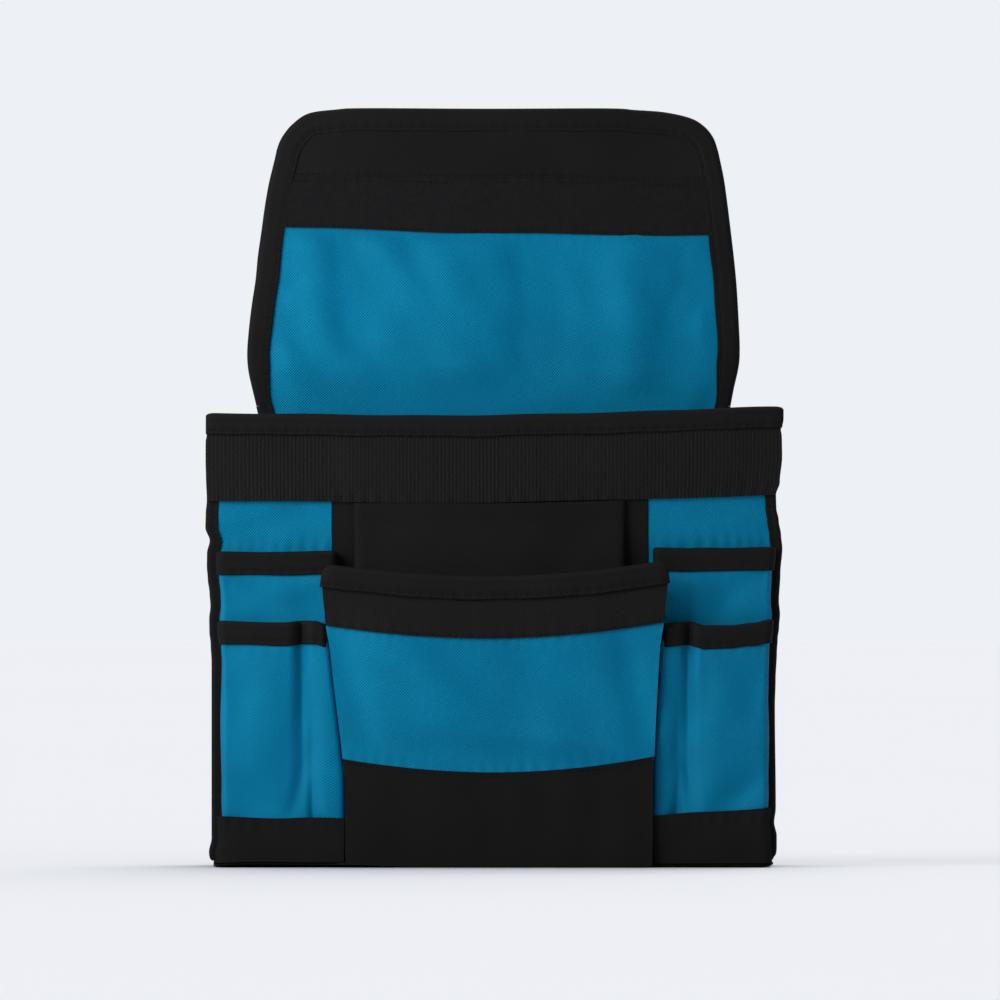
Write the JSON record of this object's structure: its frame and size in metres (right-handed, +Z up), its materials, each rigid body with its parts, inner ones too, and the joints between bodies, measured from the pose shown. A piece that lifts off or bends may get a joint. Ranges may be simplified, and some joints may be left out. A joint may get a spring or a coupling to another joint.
{
  "type": "organiser pouch",
  "caption": "Upright fabric organiser pouch with a main compartment, front and side pockets, and a boarded flap that folds over the mouth.",
  "frame": {"origin": "middle of the pouch's box, on the surface that it stands on", "axes": "+Z up the pouch and its raised flap, +X to the right as seen from the front, +Y from the pocket side to the back"},
  "size_m": [0.314, 0.076, 0.4172],
  "materials": {
    "black_cloth": "closely woven black polyester, matt with a faint sheen",
    "blue_cloth": "bright blue nylon twill with fine diagonal ribs and a soft sheen",
    "webbing": "ribbed black polypropylene webbing, matt",
    "binding_tape": "folded black herringbone tape with one row of stitching",
    "soft_strip": "black loop pile fastening strip",
    "lining": "plain black woven lining",
    "board": "hidden stiffening board"
  },
  "bodies": {
    "pouch": {"back_panel": "black_cloth", "back_board": "board", "back_lining": "lining", "shoulder_tape_left": "binding_tape", "shoulder_tape_right": "binding_tape", "base_panel": "black_cloth", "base_board": "board", "base_lining": "lining", "front_panel_centre": "black_cloth", "front_panel_left": "blue_cloth", "front_panel_right": "blue_cloth", "panel_seam_tape_left": "binding_tape", "panel_seam_tape_right": "binding_tape", "side_gusset_left": "black_cloth", "side_gusset_right": "black_cloth", "gusset_tape_left": "binding_tape", "gusset_tape_right": "binding_tape", "front_seam_tape_left": "binding_tape", "front_seam_tape_right": "binding_tape", "back_seam_tape_left": "binding_tape", "back_seam_tape_right": "binding_tape", "mouth_webbing": "webbing", "mouth_tape": "binding_tape", "slip_pocket": "black_cloth", "slip_pocket_hem": "black_cloth", "upper_pocket_left": "blue_cloth", "upper_pocket_right": "blue_cloth", "upper_pocket_tape_left": "binding_tape", "upper_pocket_tape_right": "binding_tape", "lower_pocket_left": "blue_cloth", "lower_pocket_right": "blue_cloth", "lower_pocket_tape_left": "binding_tape", "lower_pocket_tape_right": "binding_tape", "foot_band_left": "black_cloth", "foot_band_right": "black_cloth", "centre_gusset_left": "blue_cloth", "centre_gusset_right": "blue_cloth", "centre_foot": "black_cloth", "centre_face": "blue_cloth", "centre_webbing": "webbing", "centre_tape": "binding_tape"},
    "flap_root": {"flap_root_cloth": "black_cloth", "flap_root_lining": "blue_cloth", "flap_root_tape_left": "binding_tape", "flap_root_tape_right": "binding_tape"},
    "flap_tongue": {"flap_tongue_cloth": "black_cloth", "flap_tongue_lining": "blue_cloth", "flap_tongue_tape": "binding_tape", "flap_board": "board", "flap_soft_strip": "soft_strip", "flap_tip_facing": "black_cloth"}
  },
  "joints": [
    {"name": "flap_fold", "type": "hinge", "parent": "pouch", "child": "flap_root", "pos_m": [0, 0.03525, 0.256], "axis": [1, 0, 0], "range_deg": [-90, 90]},
    {"name": "flap_tip_fold", "type": "hinge", "parent": "flap_root", "child": "flap_tongue", "pos_m": [0, 0.03525, 0.306], "axis": [1, 0, 0], "range_deg": [-90, 72]}
  ]
}
